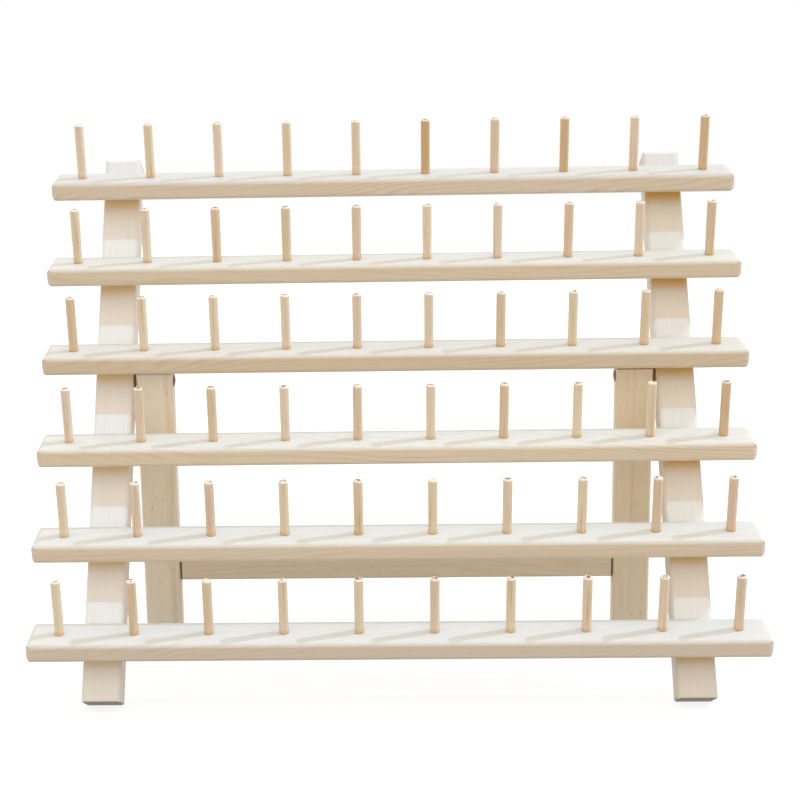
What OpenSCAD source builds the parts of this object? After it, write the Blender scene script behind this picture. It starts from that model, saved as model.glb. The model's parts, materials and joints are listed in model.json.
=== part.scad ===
// Thread spool rack: six rails of pegs on two leaning posts, held up by a folding rear stand

/* [Posts] */
// Length of each post
post_length = 321; // [300:1:400]
// Width of each post, across the rack
post_width = 21.5; // [16:0.5:30]
// Thickness of each post, front to back
post_thickness = 16; // [15:0.5:26]
// Distance from the end of a rail in to the centre line of a post
post_inset = 39; // [20:0.5:70]
// How far the posts lean back from upright, in degrees
lean = 25; // [18:0.5:29]

/* [Rails] */
// Length of each rail
rail_length = 400; // [380:1:520]
// Depth of a rail, from its back edge to its front edge
rail_depth = 25; // [20:0.5:34]
// Thickness of a rail
rail_thickness = 11; // [9:0.5:15]
// Distance from one rail to the next, along the post
rail_pitch = 53.7; // [45:0.1:55]
// Distance from the top of a post down to the back edge of the top rail
top_rail_drop = 9; // [4:0.5:15]
// Angle between the pegs and the posts, in degrees
peg_angle = 37.5; // [32:0.5:44]
// Depth of the notch in the post that seats the lower back corner of a rail
notch_depth = 6; // [4:0.5:8]

/* [Pegs] */
// Number of pegs on each rail
pegs_per_rail = 10; // [4:1:12]
// Diameter of a peg
peg_diameter = 5.2; // [3:0.1:7]
// How far a peg stands out of its rail
peg_reach = 32; // [20:0.5:40]
// Width of the shoulder round the tenon at the foot of a peg
peg_shoulder = 0.4; // [0.2:0.05:0.8]
// Length of the tenon, which is glued into a blind hole in the rail
peg_tenon = 7; // [4:0.5:8]
// Distance from the end of a rail to its first peg
peg_margin = 17; // [10:0.5:30]
// Radius of the rounding at the tip of a peg
peg_tip_radius = 1; // [0.3:0.1:1.4]

/* [Stand] */
// Angle between the posts and the open legs, in degrees
stand_angle = 30; // [30:0.5:40]
// Width of each leg, across the rack
leg_width = 21.5; // [16:0.5:30]
// Thickness of each leg, front to back
leg_thickness = 10; // [9:0.5:14]
// Distance from the back edge of the third rail down to the pivot, along the post
pivot_drop = 20.5; // [18:0.5:26]
// Distance from the front face of a post back to the pivot
pivot_depth = 8; // [7:0.5:10]
// Height of the cross bar, along the legs
bar_height = 21; // [14:0.5:30]
// Thickness of the cross bar
bar_thickness = 10; // [9:0.5:14]
// Distance from the pivot down to the lower edge of the cross bar, along the legs
bar_drop = 121; // [90:1:140]

/* [Hardware] */
// Shank diameter of a pivot screw
pivot_diameter = 4; // [3:0.1:6]
// Head diameter of a pivot screw
pivot_head_diameter = 7; // [6:0.1:10]
// Height of the low domed head of a pivot screw
pivot_head_height = 0.8; // [0.7:0.1:2]
// How far a pivot screw bites into its post
pivot_bite = 14; // [10:0.5:15]
// Diameter of a spacer washer
washer_diameter = 10; // [8:0.5:12]
// Thickness of a spacer washer
washer_thickness = 1; // [0.6:0.1:2]
// Shank diameter of a wood screw
screw_diameter = 3.2; // [2.5:0.1:4]
// Head diameter of a wood screw
screw_head_diameter = 6.4; // [5:0.1:8]
// How far a cross bar screw bites into the bar
bar_screw_bite = 18; // [10:0.5:25]

/* [Edges] */
// Rounding along the edges of posts and rails
edge_radius = 2.5; // [1:0.1:4]
// Rounding along the edges of legs and cross bar
stand_edge_radius = 1.8; // [0.8:0.1:3]
// Rounding round the ends of the posts
end_radius = 2; // [0.5:0.1:3]
// Rounding round the ends of the rails
rail_end_radius = 4; // [0.5:0.1:4]
// Rounding round the ends of the cross bar
bar_end_radius = 1.4; // [0.4:0.1:2]
// Chamfer across the feet of the legs
leg_chamfer = 1; // [0.4:0.1:1.5]

/* [Fits] */
// Gap left under the shoulder of a peg, taken up by glue
glue_gap = 0.2; // [0.1:0.05:0.4]
// Radial room for a glued tenon or a driven screw
wood_clearance = 0.05; // [0.02:0.01:0.1]
// Radial room for the leg on its pivot screw
pivot_clearance = 0.08; // [0.04:0.01:0.1]
// Side room for the leg between spacer washer and screw head
side_clearance = 0.15; // [0.1:0.05:0.3]
// Gap at rest between the heel of a leg and the rail that stops it
stop_clearance = 0.2; // [0.1:0.05:0.4]
// Wood left between a rail screw and the peg hole in front of it
screw_cover = 1.5; // [1:0.1:3]

/* [Hidden] */
$fn = 48;

rail_count = 6;
stop_rail = 3;
left = -1;
right = 1;
overcut = 1;

// Rails are numbered from the top; the post's foot is at height 0 and its front face at y = 0
function rail_height(number) = post_length - top_rail_drop - (number - 1) * rail_pitch;
rail_proud = rail_thickness * sin(peg_angle) - notch_depth;
rail_lean = peg_angle - lean;
peg_pitch = (rail_length - 2 * peg_margin) / (pegs_per_rail - 1);
peg_radius = peg_diameter / 2;
tenon_radius = peg_radius - peg_shoulder;

// Pivot and open legs
post_spacing = rail_length - 2 * post_inset;
pivot_height = rail_height(stop_rail) - pivot_drop;
leg_lean = stand_angle - lean;
heel_turn = peg_angle - stand_angle;
stop_reach = pivot_drop * cos(peg_angle) + (rail_proud + pivot_depth) * sin(peg_angle) - rail_thickness;
heel_reach = stop_reach - stop_clearance;
post_inner = post_spacing / 2 - post_width / 2;
leg_outer = post_inner - washer_thickness - side_clearance;
leg_inner = leg_outer - leg_width;
leg_middle = (leg_outer + leg_inner) / 2;

// The posts stand on the rounded lower back edge of their feet
foot_lift = (post_thickness - end_radius) * sin(lean) + end_radius * (1 - cos(lean));
pivot_lift = foot_lift + pivot_height * cos(lean) - pivot_depth * sin(lean);
leg_reach = (pivot_lift - (leg_thickness / 2 - leg_chamfer) * abs(sin(leg_lean))) / cos(leg_lean);

// The origin is below the middle of the rack, so half of its depth lies in front
low_rail_y = rail_height(rail_count) * sin(lean) - rail_proud * cos(lean);
rail_tip_y = low_rail_y - (rail_depth - edge_radius) * cos(rail_lean)
    + edge_radius * sin(rail_lean) - edge_radius;
peg_tip_y = low_rail_y - (rail_depth / 2 + peg_radius - peg_tip_radius) * cos(rail_lean)
    - (peg_reach - peg_tip_radius) * sin(rail_lean) - peg_tip_radius;
post_top_y = (post_thickness - end_radius) * cos(lean) + (post_length - end_radius) * sin(lean) + end_radius;
middle_y = (min(rail_tip_y, peg_tip_y) + post_top_y) / 2;

// Wood screws: the rail screws stop short of the peg holes
screw_radius = screw_diameter / 2;
screw_head_radius = screw_head_diameter / 2;
screw_head_height = screw_head_radius - screw_radius;
screw_point = screw_diameter;
recess_width = 1;
recess_share = 0.6;
head_rim_share = 0.3;
tip_depth = rail_depth / 2 - peg_radius - screw_cover;
screw_drop = tip_depth * sin(peg_angle) + rail_thickness / 2 * cos(peg_angle);
screw_tip_front = rail_proud + tip_depth * cos(peg_angle) - rail_thickness / 2 * sin(peg_angle);
rail_screw_length = post_thickness + screw_tip_front;
bar_screw_length = leg_width + bar_screw_bite;

wood = "wheat";
peg_wood = "burlywood";
steel = "silver";

// Leans the whole rack back on its feet and centres it over the origin
module on_floor() {
    translate([0, -middle_y, foot_lift]) rotate([-lean, 0, 0]) children();
}

// Rail frame: the back top edge of a rail, with z along its pegs and y towards the back
module at_rail(number) {
    translate([0, -rail_proud, rail_height(number)]) rotate([peg_angle, 0, 0]) children();
}

// Leg frame: the pivot, with z up along the open legs and y towards the back
module at_pivot() {
    translate([0, pivot_depth, pivot_height]) rotate([stand_angle, 0, 0]) children();
}

// Mirrors a right-hand piece for the left side
module on_side(side) {
    mirror([side == left ? 1 : 0, 0, 0]) children();
}

// Rectangle with round corners
module rounded_section(width, thickness, radius) {
    square([width - 2 * radius, thickness], center = true);
    square([width, thickness - 2 * radius], center = true);
    for (x = [-1, 1], y = [-1, 1])
        translate([x * (width / 2 - radius), y * (thickness / 2 - radius)]) circle(radius);
}

// Planed bar along z, with one rounding along its edges and another round its ends
module wood_bar(width, thickness, length, radius, end_rounding) {
    intersection() {
        linear_extrude(length) rounded_section(width, thickness, radius);
        translate([0, 0, length / 2]) rotate([90, 0, 0])
            linear_extrude(thickness + 2 * overcut, center = true)
                rounded_section(width, length, end_rounding);
        translate([0, 0, length / 2]) rotate([90, 0, 90])
            linear_extrude(width + 2 * overcut, center = true)
                rounded_section(thickness, length, end_rounding);
    }
}

// Countersunk wood screw along z, its head flush with z = 0; room widens it into its own hole
module screw_body(length, room) {
    rotate_extrude() polygon([
        [0, -room], [screw_head_radius + room, -room], [screw_head_radius + room, 0],
        [screw_radius + room, screw_head_height], [screw_radius + room, length - screw_point],
        [0, length + room]
    ]);
}

// Cross-shaped driver recess in a screw head
module cross_recess(head_diameter, head_height) {
    length = head_diameter * recess_share;
    depth = head_height * recess_share;
    for (turn = [0, 90])
        rotate([0, 0, turn])
            translate([-length / 2, -recess_width / 2, -overcut])
                cube([length, recess_width, depth + overcut]);
}

module wood_screw(length) {
    color(steel) difference() {
        screw_body(length, 0);
        cross_recess(screw_head_diameter, screw_head_height);
    }
}

// Places a rail screw, or the hole for it, from the back of the post
module at_rail_screw(number) {
    translate([post_spacing / 2, post_thickness, rail_height(number) - screw_drop])
        rotate([90, 0, 0]) children();
}

// Places a cross bar screw, or the hole for it, from the outer side of the leg
module at_bar_screw() {
    translate([leg_outer, 0, bar_height / 2 - bar_drop]) rotate([0, -90, 0]) children();
}

// Right-hand post: notches for the rails, screw holes from the back and the pivot screw's hole
module post() {
    color(wood) difference() {
        translate([post_spacing / 2, post_thickness / 2, 0])
            wood_bar(post_width, post_thickness, post_length, edge_radius, end_radius);
        for (number = [1:rail_count]) {
            at_rail(number)
                translate([post_inner - overcut, -rail_depth, -rail_thickness])
                    cube([post_width + 2 * overcut, rail_depth, 2 * rail_thickness]);
            at_rail_screw(number) screw_body(rail_screw_length, wood_clearance);
        }
        translate([post_inner - overcut, pivot_depth, pivot_height]) rotate([0, 90, 0])
            cylinder(h = pivot_bite + overcut, d = pivot_diameter + 2 * wood_clearance);
    }
}

// Rail lying along x, with a row of blind peg holes and two screw holes
module rail(number) {
    color(wood) difference() {
        at_rail(number)
            translate([-rail_length / 2, -rail_depth / 2, -rail_thickness / 2])
                rotate([0, 90, 0])
                    wood_bar(rail_thickness, rail_depth, rail_length, edge_radius, rail_end_radius);
        at_rail(number) at_pegs()
            translate([0, 0, -peg_tenon])
                cylinder(h = peg_tenon + overcut, r = tenon_radius + wood_clearance);
        for (side = [left, right])
            on_side(side) at_rail_screw(number) screw_body(rail_screw_length, wood_clearance);
    }
}

// Repeats a piece at every peg of a rail
module at_pegs() {
    for (place = [0:pegs_per_rail - 1])
        translate([(place - (pegs_per_rail - 1) / 2) * peg_pitch, -rail_depth / 2, 0]) children();
}

// Turned peg along z with its foot on z = 0: tenon, straight wall and rounded tip
module peg() {
    wall = peg_reach - glue_gap - peg_tip_radius;
    core = peg_radius - peg_tip_radius;
    translate([0, 0, -peg_tenon]) cylinder(h = peg_tenon + glue_gap, r = tenon_radius);
    translate([0, 0, glue_gap]) rotate_extrude() {
        square([peg_radius, wall]);
        square([core, wall + peg_tip_radius]);
        translate([core, wall]) intersection() {
            circle(peg_tip_radius);
            square(peg_tip_radius);
        }
    }
}

module pegs(number) {
    color(peg_wood) at_rail(number) at_pegs() peg();
}

// Side view of a leg: the flat heel at the back stops under a rail, the round front lets the leg fold
module leg_side() {
    back = leg_thickness / 2;
    union() {
        translate([-back, leg_chamfer - leg_reach]) square([leg_thickness, leg_reach - leg_chamfer]);
        polygon([
            [-back, leg_chamfer - leg_reach], [leg_chamfer - back, -leg_reach],
            [back - leg_chamfer, -leg_reach], [back, leg_chamfer - leg_reach]
        ]);
        intersection() {
            translate([-back, -overcut]) square([leg_thickness, heel_reach + leg_thickness]);
            union() {
                circle(heel_reach);
                rotate(heel_turn) translate([0, -heel_reach])
                    square([heel_reach + leg_thickness, 2 * heel_reach]);
            }
        }
    }
}

// Right-hand leg, bored for the pivot screw and drilled for the cross bar screw
module leg() {
    color(wood) difference() {
        intersection() {
            translate([leg_middle, 0, -leg_reach])
                linear_extrude(leg_reach + heel_reach + leg_thickness)
                    rounded_section(leg_width, leg_thickness, stand_edge_radius);
            translate([leg_middle, 0, 0]) rotate([90, 0, 90])
                linear_extrude(leg_width + 2 * overcut, center = true) leg_side();
        }
        translate([leg_inner - overcut, 0, 0]) rotate([0, 90, 0])
            cylinder(h = leg_width + 2 * overcut, d = pivot_diameter + 2 * pivot_clearance);
        at_bar_screw() screw_body(bar_screw_length, wood_clearance);
    }
}

// Bar between the legs, butted against their inner sides
module cross_bar() {
    color(wood) difference() {
        translate([-leg_inner, 0, bar_height / 2 - bar_drop]) rotate([0, 90, 0])
            wood_bar(bar_height, bar_thickness, 2 * leg_inner, stand_edge_radius, bar_end_radius);
        for (side = [left, right])
            on_side(side) at_bar_screw() screw_body(bar_screw_length, wood_clearance);
    }
}

// Low dome standing on z = 0, with a thin straight rim
module domed_head(diameter, height) {
    radius = diameter / 2;
    rim = height * head_rim_share;
    rise = height - rim;
    dome_radius = (radius * radius + rise * rise) / (2 * rise);
    cylinder(h = rim, r = radius);
    rotate_extrude() intersection() {
        translate([0, height - dome_radius]) circle(dome_radius);
        square([radius, height]);
    }
}

// Right-hand pivot screw: a low head on the inner side of the leg, the shank biting into the post
module pivot_screw() {
    shank = post_inner + pivot_bite - leg_inner + side_clearance;
    color(steel) translate([leg_inner - side_clearance, pivot_depth, pivot_height]) rotate([0, 90, 0])
        difference() {
            union() {
                cylinder(h = shank, d = pivot_diameter);
                mirror([0, 0, 1]) domed_head(pivot_head_diameter, pivot_head_height);
            }
            translate([0, 0, -pivot_head_height])
                cross_recess(pivot_head_diameter, pivot_head_height);
        }
}

// Washer that keeps the leg off the post
module spacer_washer() {
    color(steel) translate([post_inner - washer_thickness, pivot_depth, pivot_height]) rotate([0, 90, 0])
        difference() {
            cylinder(h = washer_thickness, d = washer_diameter);
            translate([0, 0, -overcut])
                cylinder(h = washer_thickness + 2 * overcut, d = pivot_diameter + 2 * pivot_clearance);
        }
}

module rail_screws(side) {
    for (number = [1:rail_count])
        on_side(side) at_rail_screw(number) wood_screw(rail_screw_length);
}

module cross_bar_screws() {
    for (side = [left, right])
        on_side(side) at_bar_screw() wood_screw(bar_screw_length);
}

on_floor() on_side(left) post();  // left_post
on_floor() on_side(right) post();  // right_post
for (number = [1:rail_count]) {
    on_floor() rail(number);
    on_floor() pegs(number);
}
on_floor() at_pivot() on_side(left) leg();  // left_leg
on_floor() at_pivot() on_side(right) leg();  // right_leg
on_floor() at_pivot() cross_bar();
on_floor() on_side(left) pivot_screw();  // left_pivot_screw
on_floor() on_side(right) pivot_screw();  // right_pivot_screw
on_floor() on_side(left) spacer_washer();  // left_spacer_washer
on_floor() on_side(right) spacer_washer();  // right_spacer_washer
on_floor() rail_screws(left);  // left_rail_screws
on_floor() rail_screws(right);  // right_rail_screws
on_floor() at_pivot() cross_bar_screws();
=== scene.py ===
# %% [markdown]
# A thread spool rack in pale pine: two leaning posts carry six tilted rails with rows of dowel pegs,
# and a folding stand behind keeps it upright. The solid parts come ready made and in place. This
# lesson gives every part a procedural finish, then sets up a plain studio and a camera at the
# viewing angle of the photograph.

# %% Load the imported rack
import json
import math

import bpy
from mathutils import Matrix, Vector


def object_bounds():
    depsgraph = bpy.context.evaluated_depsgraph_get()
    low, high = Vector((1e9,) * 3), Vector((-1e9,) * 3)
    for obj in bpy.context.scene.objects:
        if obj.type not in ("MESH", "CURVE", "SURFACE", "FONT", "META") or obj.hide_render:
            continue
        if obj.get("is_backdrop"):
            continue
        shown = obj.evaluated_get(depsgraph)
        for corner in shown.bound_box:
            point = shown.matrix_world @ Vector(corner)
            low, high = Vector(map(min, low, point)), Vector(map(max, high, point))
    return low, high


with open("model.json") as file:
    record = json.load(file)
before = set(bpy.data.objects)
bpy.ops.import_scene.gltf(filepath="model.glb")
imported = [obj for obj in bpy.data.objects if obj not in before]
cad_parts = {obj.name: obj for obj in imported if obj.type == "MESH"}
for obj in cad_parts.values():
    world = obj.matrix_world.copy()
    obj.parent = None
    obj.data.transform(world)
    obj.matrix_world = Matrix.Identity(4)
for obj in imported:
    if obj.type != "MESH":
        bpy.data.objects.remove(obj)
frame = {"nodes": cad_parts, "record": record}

cad_low, cad_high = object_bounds()
cad_size = [high - low for low, high in zip(cad_low, cad_high)]
print("The rack measures", [round(length, 4) for length in cad_size], "metres")

# %% [markdown]
# The camera comes first, because every finish is judged through it. A long lens, about level with the
# top rail and dipped a little, keeps the rails nearly parallel. The picture is a crop of a wider one,
# so the lens is shifted a little rather than turned, and a slight roll lets the rails climb to the
# right.

# %% Camera
camera_place = Vector((-0.0037, -0.9070, 0.3061))
camera_turn = math.radians(1.56)
camera_dip = math.radians(7.09)
camera_roll = math.radians(-0.90)

camera_data = bpy.data.cameras.new("studio_camera")
camera_data.sensor_width = 36
camera_data.lens = 72.3
camera_data.shift_x = 0.0709
camera_data.shift_y = -0.0743
camera = bpy.data.objects.new("studio_camera", camera_data)
bpy.context.collection.objects.link(camera)
camera.matrix_world = (
    Matrix.Translation(camera_place)
    @ Matrix.Rotation(camera_turn, 4, "Z")
    @ Matrix.Rotation(math.pi / 2 - camera_dip, 4, "X")
    @ Matrix.Rotation(camera_roll, 4, "Z")
)
bpy.context.scene.camera = camera
print("Camera stands", round(-camera_place.y, 3), "m in front of the middle of the rack")

# %% [markdown]
# Shader trees get long when every node takes five lines, so a few small helpers do the typing. The
# first adds a node, sets its options, and either links or fills each input. The others wrap the sums
# that come up again and again.

# %% Helpers for nodes and sums
def add_node(tree, kind, inputs=None, **options):
    """Adds a node; inputs maps a socket's name or number to a value or another node's output."""
    node = tree.nodes.new(kind)
    for name, value in options.items():
        setattr(node, name, value)
    for key, value in (inputs or {}).items():
        if isinstance(value, bpy.types.NodeSocket):
            tree.links.new(value, node.inputs[key])
        else:
            node.inputs[key].default_value = value
    return node


def math_node(tree, operation, first, second=0.0, third=0.0):
    inputs = {0: first, 1: second, 2: third}
    return add_node(tree, "ShaderNodeMath", inputs, operation=operation).outputs[0]


def vector_node(tree, operation, first, second):
    inputs = {0: first, 1: second}
    return add_node(tree, "ShaderNodeVectorMath", inputs, operation=operation).outputs[0]


def times(tree, first, second):
    return math_node(tree, "MULTIPLY", first, second)


def diagonal(tree, across, deep):
    """Length of the diagonal over two sides that stand square to each other."""
    square = math_node(tree, "POWER", across, 2.0)
    return math_node(tree, "SQRT", math_node(tree, "MULTIPLY_ADD", deep, deep, square))


def axes(tree, vector):
    """The x, y and z of a vector."""
    return add_node(tree, "ShaderNodeSeparateXYZ", {0: vector}).outputs


def smooth_step(tree, value, low, high):
    """0 at low and 1 at high, smooth between them; low may be the larger of the two."""
    node = add_node(
        tree, "ShaderNodeMapRange", {"Value": value, "From Min": low, "From Max": high},
        interpolation_type="SMOOTHSTEP",
    )
    return node.outputs["Result"]


print("Helpers for nodes and sums ready")

# %% [markdown]
# Colours need helpers too. Screen colours are easy to compare with a picture, but shaders work with
# linear light, so one helper converts them. The others mix two colours or darken one.

# %% Helpers for colours
def srgb(red, green, blue):
    """A colour written as 0 to 255 screen values, turned into linear values."""
    def linear(value):
        value /= 255
        return value / 12.92 if value <= 0.04045 else ((value + 0.055) / 1.055) ** 2.4
    return (linear(red), linear(green), linear(blue), 1.0)


def mix_color(tree, factor, first, second, blend="MIX"):
    """Mixes two colours; a Mix node that is set to colours has them at sockets 6 and 7."""
    node = add_node(
        tree, "ShaderNodeMix", {0: factor, 6: first, 7: second}, data_type="RGBA", blend_type=blend
    )
    return node.outputs[2]


def shaded(tree, color, shade):
    """Multiplies a colour by a single value."""
    gray = add_node(tree, "ShaderNodeCombineColor", {0: shade, 1: shade, 2: shade}).outputs[0]
    return mix_color(tree, 1.0, color, gray, blend="MULTIPLY")


print("Helpers for colours ready; mid grey is", round(srgb(128, 128, 128)[0], 3), "in linear light")

# %% [markdown]
# An effect that several materials share is built once as a node group with named sockets. The first
# helper opens such a group. The type of each input follows from its default: a number, a point in
# space, or a colour. The second draws noise out along the grain, which is what wood is made of.

# %% Helpers for node groups
def open_group(name, inputs, outputs):
    """Makes a shader node group and returns it with its inner input and output sockets."""
    group = bpy.data.node_groups.new(name, "ShaderNodeTree")
    for socket_name, default in inputs.items():
        kind = "NodeSocketFloat"
        if isinstance(default, tuple):
            kind = "NodeSocketColor" if len(default) == 4 else "NodeSocketVector"
        socket = group.interface.new_socket(socket_name, in_out="INPUT", socket_type=kind)
        socket.default_value = default
    for socket_name, kind in outputs.items():
        group.interface.new_socket(socket_name, in_out="OUTPUT", socket_type=kind)
    given = group.nodes.new("NodeGroupInput").outputs
    made = group.nodes.new("NodeGroupOutput").inputs
    return group, given, made


def stretched_noise(tree, place, across, along, detail=2.0):
    """Noise drawn out along z; across and along are features per metre."""
    scaled = vector_node(tree, "MULTIPLY", place, (across, across, along))
    inputs = {"Vector": scaled, "Scale": 1.0, "Detail": detail}
    return add_node(tree, "ShaderNodeTexNoise", inputs).outputs["Fac"]


def around_one(tree, noise, depth):
    """Turns noise from 0 to 1 into a shade that swings about 1, by depth in all."""
    return math_node(tree, "MULTIPLY_ADD", noise, depth, 1 - depth / 2)


print("Helpers for node groups ready")

# %% [markdown]
# Pine is pale early wood with thin, darker late-wood lines. A board is cut from a log, so the lines
# are the log's growth rings, met by the saw. Plain stripes would be quicker, but they look wrong on
# the sawn ends. So the pattern fills space: it takes the distance from a heart line that lies off to
# the side of the board, wobbles it slowly along the grain, and cuts it into rings. A slant lets the
# heart line drift sideways, as it does where the saw didn't follow the grain.

# %% Growth rings
heart_offset = 0.05
heart_swing = 0.03
swing_rate = 7.0
ring_wobble = 0.03


def growth_rings(group, given, place):
    """Mask of the late wood, which rises slowly across each ring and ends at a sharp edge."""
    x, y, along = axes(group, given["Vector"])
    swing = math_node(group, "SINE", times(group, given["Seed"], swing_rate))
    drift = math_node(group, "MULTIPLY_ADD", along, given["Slant"], x)
    heart_x = math_node(group, "MULTIPLY_ADD", swing, heart_swing, drift)
    heart_y = math_node(group, "ADD", y, heart_offset)
    wobble = times(group, stretched_noise(group, place, 38.0, 5.5), ring_wobble)
    distance = math_node(group, "ADD", diagonal(group, heart_x, heart_y), wobble)
    phase = math_node(group, "FRACT", math_node(group, "DIVIDE", distance, given["Ring Width"]))
    return times(group, smooth_step(group, phase, 0.3, 0.85), smooth_step(group, phase, 1.0, 0.88))


print("Rings run round a heart line", round(heart_offset * 1000), "mm off the board")

# %% [markdown]
# The grain group puts the rings together with what else shows on planed pine: fine fibres, slow
# clouds of lighter and darker wood, warm streaks, and short dark flecks. All of them are noise, drawn
# out along the grain at different scales. Sawn ends drink in more light than planed sides, so they
# come out darker.

# %% Pine grain group
streak_strength = 0.4
fibre_depth = 0.12
cloud_depth = 0.08
end_grain_loss = 0.35


def build_pine_grain():
    group, given, made = open_group(
        "pine_grain",
        {
            "Vector": (0.0, 0.0, 0.0), "Facing": (0.0, 0.0, 0.0), "Seed": 0.0, "Slant": 0.0,
            "Ring Width": 0.003, "Ring Strength": 0.3, "Fleck Strength": 0.2,
            "Pale Wood": srgb(219, 205, 184), "Late Wood": srgb(198, 174, 140),
            "Warm Streak": srgb(213, 188, 160),
        },
        {"Color": "NodeSocketColor", "Height": "NodeSocketFloat", "Roughness": "NodeSocketFloat"},
    )
    three_seeds = {axis: given["Seed"] for axis in range(3)}
    seed = add_node(group, "ShaderNodeCombineXYZ", three_seeds).outputs[0]
    place = vector_node(group, "ADD", given["Vector"], seed)

    late = growth_rings(group, given, place)
    fibres = stretched_noise(group, place, 2600.0, 40.0, 3.0)
    cloud = stretched_noise(group, place, 90.0, 9.0, 3.0)
    streak = smooth_step(group, stretched_noise(group, place, 240.0, 4.0), 0.55, 0.78)
    fleck = smooth_step(group, stretched_noise(group, place, 1500.0, 190.0), 0.66, 0.76)

    ring_mask = times(group, late, given["Ring Strength"])
    ring_mask = times(group, ring_mask, smooth_step(group, cloud, 0.25, 0.7))
    fleck_mask = times(group, fleck, given["Fleck Strength"])
    color = mix_color(group, ring_mask, given["Pale Wood"], given["Late Wood"])
    color = mix_color(group, times(group, streak, streak_strength), color, given["Warm Streak"])
    color = mix_color(group, fleck_mask, color, given["Late Wood"])

    facing_along = math_node(group, "ABSOLUTE", axes(group, given["Facing"])[2])
    end_grain = smooth_step(group, facing_along, 0.7, 0.95)
    end_shade = math_node(group, "MULTIPLY_ADD", end_grain, -end_grain_loss, 1.0)
    fine_shade = around_one(group, fibres, fibre_depth)
    slow_shade = around_one(group, cloud, cloud_depth)
    shade = times(group, times(group, fine_shade, slow_shade), end_shade)

    group.links.new(shaded(group, color, shade), made["Color"])
    group.links.new(math_node(group, "MULTIPLY_ADD", late, 0.3, fibres), made["Height"])
    group.links.new(math_node(group, "MULTIPLY_ADD", fibres, 0.2, 0.38), made["Roughness"])
    return group


pine_grain = build_pine_grain()
print("Pine grain group has", len(pine_grain.nodes), "nodes")

# %% [markdown]
# Every bar of the rack is its own board, so each gets its own material from one function: the same
# grain group, turned so that the grain runs along the bar, with another seed. The turn is an angle
# about the rack's long axis, because every bar either lies along that axis or stands square to it.

# %% Board material
def new_material(name):
    material = bpy.data.materials.new(name)
    material.use_nodes = True
    tree = material.node_tree
    return material, tree, tree.nodes["Principled BSDF"]


def grain_space(tree, turn, lengthwise, source="Object"):
    """Object coordinates, or the surface normal, turned so that z runs along the grain."""
    place = add_node(tree, "ShaderNodeTexCoord").outputs[source]
    quarter = -math.pi / 2 if lengthwise else 0.0
    inputs = {"Vector": place, "Rotation": (math.radians(turn), quarter, 0.0)}
    return add_node(tree, "ShaderNodeMapping", inputs).outputs[0]


def board_material(name, turn, lengthwise, **grain_values):
    """A planed pine board; grain_values fill the grain group's inputs by name."""
    material, tree, shader = new_material(name)
    grain = add_node(tree, "ShaderNodeGroup", node_tree=pine_grain)
    tree.links.new(grain_space(tree, turn, lengthwise), grain.inputs["Vector"])
    tree.links.new(grain_space(tree, turn, lengthwise, "Normal"), grain.inputs["Facing"])
    for socket_name, value in grain_values.items():
        grain.inputs[socket_name.replace("_", " ").title()].default_value = value
    relief = {"Height": grain.outputs["Height"], "Strength": 0.1, "Distance": 0.0003}
    bump = add_node(tree, "ShaderNodeBump", relief)
    shader.inputs["Specular IOR Level"].default_value = 0.25
    shader.inputs["Coat Weight"].default_value = 0.1
    shader.inputs["Coat Roughness"].default_value = 0.4
    tree.links.new(grain.outputs["Color"], shader.inputs["Base Color"])
    tree.links.new(grain.outputs["Roughness"], shader.inputs["Roughness"])
    tree.links.new(bump.outputs["Normal"], shader.inputs["Normal"])
    return material


print("Board material ready")

# %% [markdown]
# Handling, light and joints leave tones on single faces of a board. A mask says where: one helper
# makes it from the direction a surface faces, another mixes a tone into the finished colour there.
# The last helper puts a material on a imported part, whose mesh stays as it is.

# %% Tones and dressing
def along_board(tree, turn, lengthwise=False):
    """Distance along the grain of a board."""
    return axes(tree, grain_space(tree, turn, lengthwise))[2]


def facing_mask(tree, turn, axis, low, high):
    """How far the surface looks along an axis of an upright board; turn is the board's lean."""
    normal = grain_space(tree, turn, False, "Normal")
    return smooth_step(tree, axes(tree, normal)[axis], low, high)


def front_mask(tree, turn):
    return facing_mask(tree, turn, "Y", -0.2, -0.8)


def tint(material, mask, amount, tone):
    """Mixes an amount of a tone into a material's colour where the mask is 1."""
    tree = material.node_tree
    shader = tree.nodes["Principled BSDF"]
    color = shader.inputs["Base Color"].links[0].from_socket
    toned = mix_color(tree, times(tree, mask, amount), color, tone)
    tree.links.new(toned, shader.inputs["Base Color"])


def dress(node, material):
    """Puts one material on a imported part."""
    slots = frame["nodes"][node].data.materials
    slots.clear()
    slots.append(material)


print("Tones ready for", len(frame["nodes"]), "parts")

# %% [markdown]
# The six rails are sawn from different boards. In some the lines run straight, in others they slant
# across the front. Each rail has its own wood colour, strength of lines and slant. A mask made from
# the surface normal mixes a greyer tone into the faces that look up, the top rail's most of all:
# painted light, which with the cool lamps gives these tops the washed-out white of strong light.

# %% Rails
rail_tilt = 12.5
rail_looks = [
    (srgb(221, 208, 191), 0.5, 0.16), (srgb(222, 208, 187), 0.35, -0.05),
    (srgb(217, 201, 179), 0.5, 0.12), (srgb(226, 212, 191), 0.5, -0.10),
    (srgb(222, 209, 192), 0.35, 0.06), (srgb(219, 207, 191), 0.3, 0.09),
]
rail_seed_step = 3.1
thinnest_ring, ring_step = 0.0026, 0.0003
top_rail_painted_light, other_rail_painted_light = srgb(182, 176, 168), srgb(199, 192, 181)

for number, (wood, strength, slant) in enumerate(rail_looks, start=1):
    material = board_material(
        f"pine_rail_{number}", -rail_tilt, True,
        seed=rail_seed_step * number, ring_width=thinnest_ring + ring_step * (number % 3),
        ring_strength=strength, slant=slant, pale_wood=wood,
    )
    # Painted light: the faces that look up get a greyer tone, for the washed-out white of the lit
    # tops.
    painted_top_light_mask = facing_mask(material.node_tree, -rail_tilt, "Z", 0.3, 0.85)
    tint(material, painted_top_light_mask, 0.55, top_rail_painted_light if number == 1 else other_rail_painted_light)
    dress(f"rail_{number}", material)
print("Rails dressed:", len(rail_looks))
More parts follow.
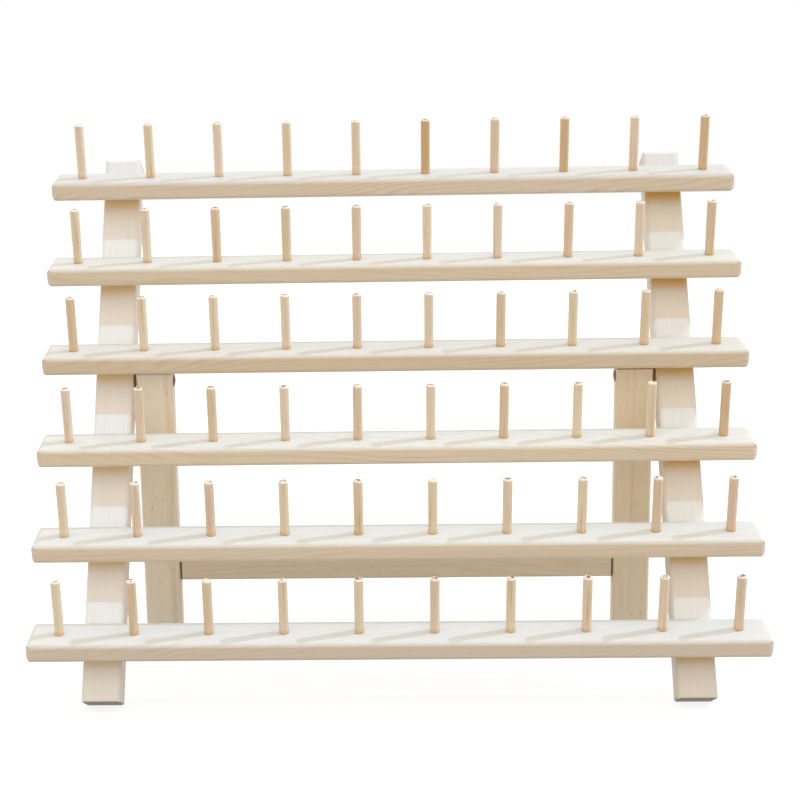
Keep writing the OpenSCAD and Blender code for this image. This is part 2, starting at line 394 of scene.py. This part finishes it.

# %% [markdown]
# The posts are paler than the rails. Close under each rail a yellow-brown painted shade fades out
# within some millimetres, where the rail shades the post and bounces warm light onto it. The rails
# repeat at one spacing, so a remainder of the height along the post, divided by that spacing, finds
# all six places with one sum.

# %% Painted shade under the rails
rack_lean = 25.0
rail_pitch = 0.0537
first_joint = 0.27392
under_rail_shade_full, under_rail_shade_gone = 0.005, 0.0145


def add_painted_shade_under_rails(material, tone):
    """Paints shade on the front of a post just under each rail, fading downwards."""
    tree = material.node_tree
    below_first = math_node(tree, "SUBTRACT", first_joint, along_board(tree, rack_lean))
    pitches = math_node(tree, "DIVIDE", below_first, rail_pitch)
    depth = times(tree, math_node(tree, "FRACT", pitches), rail_pitch)
    painted_shade_near_rail = smooth_step(tree, depth, under_rail_shade_gone, under_rail_shade_full)
    tint(material, times(tree, front_mask(tree, rack_lean), painted_shade_near_rail), 1.0, tone)


print("Tone fades out", round(under_rail_shade_gone * 1000, 1), "mm under each rail")

# %% [markdown]
# The heads of the posts, above the top rail, are greyed, and the sawn faces of the feet, which look
# down to the floor, get a dark grey of painted shade. The pale wood on the fronts is painted light
# that stands in for the strong light there; the backs keep the warm tone of fresh pine, and the sawn
# tops get a darker brown end-grain tone. Each of these is one mask and one tone.

# %% Posts
head_start, head_full = first_joint + 0.008, first_joint + 0.014


def age_post(material):
    """Greys the head, paints shade on the foot, and warms the back and the top of a post."""
    tree = material.node_tree
    head = smooth_step(tree, along_board(tree, rack_lean), head_start, head_full)
    # Painted shade on the sawn face of the foot, which looks down to the floor.
    foot = facing_mask(tree, rack_lean, "Z", -0.5, -0.85)
    back = facing_mask(tree, rack_lean, "Y", 0.2, 0.8)
    top = facing_mask(tree, rack_lean, "Z", 0.5, 0.85)
    tint(material, head, 0.6, srgb(205, 200, 194))
    tint(material, foot, 0.85, srgb(120, 112, 102))
    tint(material, back, 0.5, srgb(238, 220, 186))
    tint(material, top, 0.8, srgb(200, 174, 136))


# Each post: a seed, its pale wood, which on the fronts is painted light, and the colour of the
# painted shade under the rails.
post_looks = {
    "left": (21.7, srgb(236, 233, 230), srgb(238, 210, 163)),
    "right": (27.0, srgb(227, 221, 212), srgb(226, 183, 109)),
}
for side, (seed, wood, tone) in post_looks.items():
    material = board_material(
        f"pine_{side}_post", rack_lean, False,
        seed=seed, ring_width=0.0034, ring_strength=0.14, fleck_strength=0.5,
        pale_wood=wood, late_wood=srgb(228, 215, 194), warm_streak=srgb(237, 227, 210),
    )
    add_painted_shade_under_rails(material, tone)
    age_post(material)
    dress(f"{side}_post", material)
print("Posts dressed:", len(post_looks))

# %% [markdown]
# The stand is plainer wood, cut the other way, with more short flecks than lines. Its two legs lean
# slightly forward. Just under a rail near the pivot, a thin brown line of painted shade crosses them,
# fainter on the left. Distance along the leg gives that mask.

# %% Legs
leg_lean = 5.0
shade_line_height = 0.1729
shade_line_low, shade_line_high = shade_line_height - 0.001, shade_line_height + 0.001
# Each leg: a seed, its wood colour, and the strength of the painted shade line.
leg_looks = {
    "left": (41.9, srgb(246, 239, 223), 0.5),
    "right": (46.6, srgb(238, 225, 202), 0.9),
}
for side, (seed, wood, line_shade_amount) in leg_looks.items():
    material = board_material(
        f"pine_{side}_leg", -leg_lean, False,
        seed=seed, ring_width=0.005, ring_strength=0.1, fleck_strength=0.8, pale_wood=wood,
    )
    tree = material.node_tree
    along_leg = along_board(tree, -leg_lean)
    above = smooth_step(tree, along_leg, shade_line_low, shade_line_low + 0.0004)
    below = smooth_step(tree, along_leg, shade_line_high, shade_line_high - 0.0006)
    # Painted shade: a thin brown line across the front, where the rail shades the leg.
    wear_and_shade = times(tree, times(tree, above, below), front_mask(tree, -leg_lean))
    tint(material, wear_and_shade, line_shade_amount, srgb(150, 80, 0))
    dress(f"{side}_leg", material)
print("Legs dressed, with a rub line", round(shade_line_height * 1000, 1), "mm up")

# %% [markdown]
# The cross bar is butted between the legs. Its joints show as thin brown seams, painted shade in the
# narrow gap between bar and leg. The bar's own box tells how long it is, and so where the seams are.

# %% Cross bar
seam_shade_start, seam_shade_full = 0.0014, 0.0006
bar_material = board_material(
    "pine_cross_bar", -leg_lean, True,
    seed=57.3, ring_width=0.004, ring_strength=0.2, fleck_strength=0.7,
    pale_wood=srgb(231, 219, 198),
)
bar_half = max(corner[0] for corner in frame["nodes"]["cross_bar"].bound_box)
tree = bar_material.node_tree
from_middle = math_node(tree, "ABSOLUTE", along_board(tree, -leg_lean, True))
# Painted shade along both ends of the bar's faces, where the joints lie in shadow.
painted_seam_shade = smooth_step(tree, from_middle, bar_half - seam_shade_start, bar_half - seam_shade_full)
tint(bar_material, painted_seam_shade, 1.0, srgb(104, 64, 14))
dress("cross_bar", bar_material)
print("Cross bar dressed; it is", round(bar_half * 2000, 1), "mm long")

# %% [markdown]
# Each peg is a turned dowel with its own colour, so the material has to know which peg it is on. The
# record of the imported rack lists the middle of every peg, a fixed height above its rail. From three
# of them come the step along a rail and the step from row to row, and rounding a position to whole
# steps gives the peg's column and row.

# %% Peg spacing
peg_middle = 0.0156
peg_places = {mount["name"]: Vector(mount["pos_m"]) for mount in frame["record"]["mounts"]}
to_pegs = Matrix.Rotation(math.radians(-rail_tilt), 3, "X")
first_peg = to_pegs @ peg_places["peg_1_1"]
peg_step = (to_pegs @ peg_places["peg_1_2"]) - first_peg
row_step = (to_pegs @ peg_places["peg_2_1"]) - first_peg
print("Pegs stand", round(peg_step.x * 1000, 2), "mm apart")
print("Rows step by", [round(length * 1000, 2) for length in row_step], "mm")

# %% [markdown]
# This group turns a point on any peg into what the finish needs: a random pick that is constant over
# one peg, the height above the rail, the distance from the peg's axis, and the column and row
# themselves.

# %% Peg place group
pick_seed = 4.0


def build_peg_place():
    group, given, made = open_group(
        "peg_place",
        {"Vector": (0.0, 0.0, 0.0)},
        {name: "NodeSocketFloat" for name in ("Pick", "Rise", "Off Axis", "Column", "Row")},
    )
    x, depth, height = axes(group, given["Vector"])

    def nearest(value, start, step):
        """The number of the nearest step, and the distance from it."""
        steps = math_node(group, "DIVIDE", math_node(group, "SUBTRACT", value, start), step)
        number = math_node(group, "ROUND", steps)
        here = math_node(group, "MULTIPLY_ADD", number, step, start)
        return number, math_node(group, "SUBTRACT", value, here)

    column, off_x = nearest(x, first_peg.x, peg_step.x)
    row, off_y = nearest(depth, first_peg.y, row_step.y)
    foot = math_node(group, "MULTIPLY_ADD", row, row_step.z, first_peg.z - peg_middle)
    label = add_node(group, "ShaderNodeCombineXYZ", {0: column, 1: row, 2: pick_seed}).outputs[0]
    pick = add_node(group, "ShaderNodeTexWhiteNoise", {"Vector": label}, noise_dimensions="3D")
    results = {
        "Pick": pick.outputs["Value"],
        "Rise": math_node(group, "SUBTRACT", height, foot),
        "Off Axis": diagonal(group, off_x, off_y),
        "Column": column,
        "Row": row,
    }
    for name, value in results.items():
        group.links.new(value, made[name])
    return group


peg_place = build_peg_place()
print("Peg place group has", len(peg_place.nodes), "nodes")

# %% [markdown]
# The pegs are turned from a straight-grained wood, from cream to tan. A random pick could do all of
# it, but a few pegs are plainly browner, most of them in the top row or at the right ends of the
# others. So these are named by row and column, and the pick takes care of the rest.

# %% Peg colours
brown_pegs = {
    (0, 5): 1.0, (0, 7): 0.8, (0, 9): 0.7, (1, 9): 0.45,
    (2, 0): 0.45, (2, 9): 0.45, (3, 9): 0.7, (4, 8): 0.35,
}
most_random_brown = 0.45
cast_rate = 17.3
yellow_cream, pink_cream, tan = srgb(227, 215, 186), srgb(228, 210, 193), srgb(203, 170, 122)


def peg_color(tree, peg):
    """One colour for each peg: a yellowish or pinkish cream, more or less browned."""
    brown = times(tree, math_node(tree, "POWER", peg["Pick"], 2.0), most_random_brown)
    for (row, column), strength in brown_pegs.items():
        in_row = math_node(tree, "COMPARE", peg["Row"], row, 0.5)
        in_column = math_node(tree, "COMPARE", peg["Column"], column, 0.5)
        here = times(tree, times(tree, in_row, in_column), strength)
        brown = math_node(tree, "MAXIMUM", brown, here)
    cast = math_node(tree, "FRACT", times(tree, peg["Pick"], cast_rate))
    return mix_color(tree, brown, mix_color(tree, cast, yellow_cream, pink_cream), tan)


print("Browner pegs:", len(brown_pegs), "of", len(peg_places))

# %% [markdown]
# The two ends of a peg differ from its side. The sawn tip shows dark end-grain specks inside a pale
# rim, a painted highlight where light catches the rounded tip, and the foot turns warmer towards the
# rail. Height above the rail and distance from the axis mask them.

# %% Peg ends
tip_start, tip_full = 0.0306, 0.0316
speck_edge, speck_full = 0.0022, 0.0014
foot_tone_gone, foot_tone_full = 0.0035, 0.0005


def add_peg_ends(tree, peg, place, color):
    """Adds the tones of the tip and the foot to a peg's colour."""
    tip = smooth_step(tree, peg["Rise"], tip_start, tip_full)
    mottle = smooth_step(tree, stretched_noise(tree, place, 620.0, 620.0), 0.42, 0.58)
    speck = times(tree, mottle, smooth_step(tree, peg["Off Axis"], speck_edge, speck_full))
    # Painted highlight: the whole tip is paled, where light catches its rounded edge.
    color = mix_color(tree, times(tree, tip, 0.55), color, srgb(228, 217, 202))
    color = mix_color(tree, times(tree, tip, speck), color, srgb(134, 100, 74))
    foot = smooth_step(tree, peg["Rise"], foot_tone_gone, foot_tone_full)
    return mix_color(tree, times(tree, foot, 0.55), color, srgb(214, 172, 110))


print("Tips start", round(tip_start * 1000, 1), "mm above the rail")

# %% [markdown]
# The peg material puts these together. Long streaks and short pores run up each peg, from noise that
# is moved to another place for every peg, so that no two look the same. All sixty pegs share this one
# material.

# %% Pegs
def build_peg_wood():
    material, tree, shader = new_material("peg_wood")
    space = grain_space(tree, -rail_tilt, False)
    peg = add_node(tree, "ShaderNodeGroup", {"Vector": space}, node_tree=peg_place).outputs
    three_picks = {axis: peg["Pick"] for axis in range(3)}
    apart = add_node(tree, "ShaderNodeCombineXYZ", three_picks).outputs[0]
    place = vector_node(tree, "ADD", space, apart)
    streak = stretched_noise(tree, place, 700.0, 28.0, 3.0)
    pores = smooth_step(tree, stretched_noise(tree, place, 2600.0, 260.0), 0.64, 0.74)

    color = peg_color(tree, peg)
    color = mix_color(tree, smooth_step(tree, streak, 0.46, 0.86), color, srgb(200, 166, 124))
    color = mix_color(tree, times(tree, pores, 0.35), color, srgb(172, 130, 86))
    color = add_peg_ends(tree, peg, place, color)
    roughness = math_node(tree, "MULTIPLY_ADD", streak, 0.25, 0.38)
    relief = {"Height": streak, "Strength": 0.12, "Distance": 0.0003}
    bump = add_node(tree, "ShaderNodeBump", relief)
    tree.links.new(color, shader.inputs["Base Color"])
    tree.links.new(roughness, shader.inputs["Roughness"])
    tree.links.new(bump.outputs["Normal"], shader.inputs["Normal"])
    return material


peg_wood = build_peg_wood()
for number in range(1, len(rail_looks) + 1):
    dress(f"pegs_{number}", peg_wood)
print("Pegs dressed:", len(peg_places))

# %% [markdown]
# The screws and washers are dark steel. Handling rubs the dark skin off in fine scratches and
# blotches, where paler metal shows through. Three materials share that wear, so it is a group that
# puts out one mask.

# %% Worn steel group
def build_rubbed_steel():
    group, given, made = open_group(
        "rubbed_steel", {"Vector": (0.0, 0.0, 0.0), "Amount": 0.5}, {"Rubbed": "NodeSocketFloat"}
    )
    fine = stretched_noise(group, given["Vector"], 9000.0, 700.0)
    coarse = stretched_noise(group, given["Vector"], 900.0, 900.0, 4.0)
    scratches = times(group, smooth_step(group, fine, 0.6, 0.75), 0.7)
    blotches = smooth_step(group, coarse, 0.45, 0.75)
    wear_and_shade = math_node(group, "MAXIMUM", scratches, blotches)
    group.links.new(times(group, wear_and_shade, given["Amount"]), made["Rubbed"])
    return group


rubbed_steel = build_rubbed_steel()
print("Worn steel group has", len(rubbed_steel.nodes), "nodes")

# %% [markdown]
# The pivot screws are brown and smooth, the washers have a coppery film, and the wood screws are grey
# and dull. They differ only in the colour of the skin, the bare metal under it, how much is rubbed
# off, and how rough the skin is.

# %% Steel parts
def steel_material(name, skin, bare, amount, roughness):
    material, tree, shader = new_material(name)
    place = add_node(tree, "ShaderNodeTexCoord").outputs["Object"]
    inputs = {"Vector": place, "Amount": amount}
    wear_and_shade = add_node(tree, "ShaderNodeGroup", inputs, node_tree=rubbed_steel).outputs["Rubbed"]
    polish = math_node(tree, "MULTIPLY_ADD", wear_and_shade, -0.15, roughness)
    relief = {"Height": wear_and_shade, "Strength": 0.1, "Distance": 0.0001}
    bump = add_node(tree, "ShaderNodeBump", relief)
    shader.inputs["Metallic"].default_value = 1.0
    tree.links.new(mix_color(tree, wear_and_shade, skin, bare), shader.inputs["Base Color"])
    tree.links.new(polish, shader.inputs["Roughness"])
    tree.links.new(bump.outputs["Normal"], shader.inputs["Normal"])
    return material


pivot_steel = steel_material(
    "pivot_steel", srgb(112, 90, 70), srgb(150, 132, 112), amount=0.4, roughness=0.42
)
washer_steel = steel_material(
    "washer_steel", srgb(150, 98, 58), srgb(178, 128, 84), amount=0.4, roughness=0.5
)
screw_steel = steel_material(
    "screw_steel", srgb(74, 72, 70), srgb(150, 147, 142), amount=0.6, roughness=0.5
)
for side in ("left", "right"):
    dress(f"{side}_pivot_screw", pivot_steel)
    dress(f"{side}_spacer_washer", washer_steel)
    dress(f"{side}_rail_screws", screw_steel)
dress("cross_bar_screws", screw_steel)
print("Steel dressed")

# %% [markdown]
# The rack stands on a plain white sheet. The floor is a pale matt surface that takes the rack's
# shadow. For rays from the camera, and for reflections, it also glows a little, so that the open
# floor comes out as the white of the photograph and only the shadow near the feet is left.

# %% Floor
floor_size = 8
sheet_gray, sheet_glow = 0.2, 0.86
white = (1.0, 1.0, 1.0, 1.0)


def seen_directly(tree):
    """1 for rays from the camera and for reflections, 0 for the light that falls on things."""
    path = add_node(tree, "ShaderNodeLightPath").outputs
    seen = math_node(tree, "MAXIMUM", path["Is Camera Ray"], path["Is Glossy Ray"])
    return math_node(tree, "MAXIMUM", seen, path["Is Transmission Ray"])


bpy.ops.mesh.primitive_plane_add(size=floor_size)
floor = bpy.context.object
floor.name = "studio_floor"
floor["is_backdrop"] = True
floor_material, tree, shader = new_material("studio_floor")
speckle = add_node(tree, "ShaderNodeTexNoise", {"Scale": 300.0, "Detail": 2.0}).outputs["Fac"]
matt = mix_color(tree, speckle, srgb(160, 154, 146), srgb(168, 162, 154))
tree.links.new(matt, shader.inputs["Base Color"])
shader.inputs["Roughness"].default_value = 0.9
sheet_color = (sheet_gray, sheet_gray, sheet_gray, 1.0)
sheet = add_node(tree, "ShaderNodeBsdfDiffuse", {"Color": sheet_color}).outputs[0]
glow = add_node(tree, "ShaderNodeEmission", {"Color": white, "Strength": sheet_glow}).outputs[0]
white_sheet = add_node(tree, "ShaderNodeAddShader", {0: sheet, 1: glow}).outputs[0]
either = {0: seen_directly(tree), 1: shader.outputs[0], 2: white_sheet}
surface = add_node(tree, "ShaderNodeMixShader", either).outputs[0]
tree.links.new(surface, tree.nodes["Material Output"].inputs["Surface"])
floor.data.materials.append(floor_material)
print("Floor is", round(floor.dimensions.x, 1), "m wide")

# %% [markdown]
# The studio is bright on all sides: warm near the horizon, cooler overhead, which keeps the upper
# faces of the rails nearly white while their fronts stay cream. The gradient follows the height of
# each ray's direction. The camera and reflections see plain white instead.

# %% Studio surroundings
horizon_light, overhead_light = (1.09, 0.89, 0.635, 1.0), (1.24, 1.18, 1.1, 1.0)
overhead_height = 0.9

world = bpy.data.worlds.new("studio_world")
bpy.context.scene.world = world
world.use_nodes = True
tree = world.node_tree
direction = add_node(tree, "ShaderNodeTexCoord").outputs["Generated"]
rising = smooth_step(tree, axes(tree, direction)[2], 0.0, overhead_height)
soft_light = tree.nodes["Background"]
sky = mix_color(tree, rising, horizon_light, overhead_light)
tree.links.new(sky, soft_light.inputs["Color"])
backdrop = add_node(tree, "ShaderNodeBackground", {"Color": white, "Strength": 1.0}).outputs[0]
either = {0: seen_directly(tree), 1: soft_light.outputs[0], 2: backdrop}
both = add_node(tree, "ShaderNodeMixShader", either).outputs[0]
tree.links.new(both, tree.nodes["World Output"].inputs["Surface"])
print("Surroundings ready")

# %% [markdown]
# Two lamps draw the shadows. One hangs almost straight overhead, along the pegs, and lights a patch
# of each post just above every rail. The other stands high at the right and a little behind: it draws
# the slanted shadows of the pegs across the rails and brightens the right edge of every peg. Both are
# cool, because the surroundings are warm. The Standard view shows colours about as they are written.

# %% Lamps
lamp_softness = math.radians(1.5)


def add_sun(name, travel, energy, color):
    """A far lamp whose light travels in the given direction."""
    data = bpy.data.lights.new(name, "SUN")
    data.energy = energy
    data.color = color
    data.angle = lamp_softness
    sun = bpy.data.objects.new(name, data)
    bpy.context.collection.objects.link(sun)
    sun.rotation_euler = Vector(travel).to_track_quat("-Z", "Y").to_euler()
    return sun


lamps = [
    add_sun("overhead_lamp", (0.0, 0.198, -0.98), 1.45, (0.26, 0.60, 0.95)),
    add_sun("side_lamp", (-0.690, -0.046, -0.721), 1.85, (0.5, 0.68, 1.0)),
]
bpy.context.scene.view_settings.view_transform = "Standard"
print("Lamps:", [lamp.name for lamp in lamps])

# %% [markdown]
# Last, the rack's box is measured once more. Finishes don't change its size, so the two boxes should
# agree.

# %% Measure and finish
low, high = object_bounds()
growth = [top - bottom - cad for bottom, top, cad in zip(low, high, cad_size)]
print("Box grew by", [round(length, 5) for length in growth], "m")
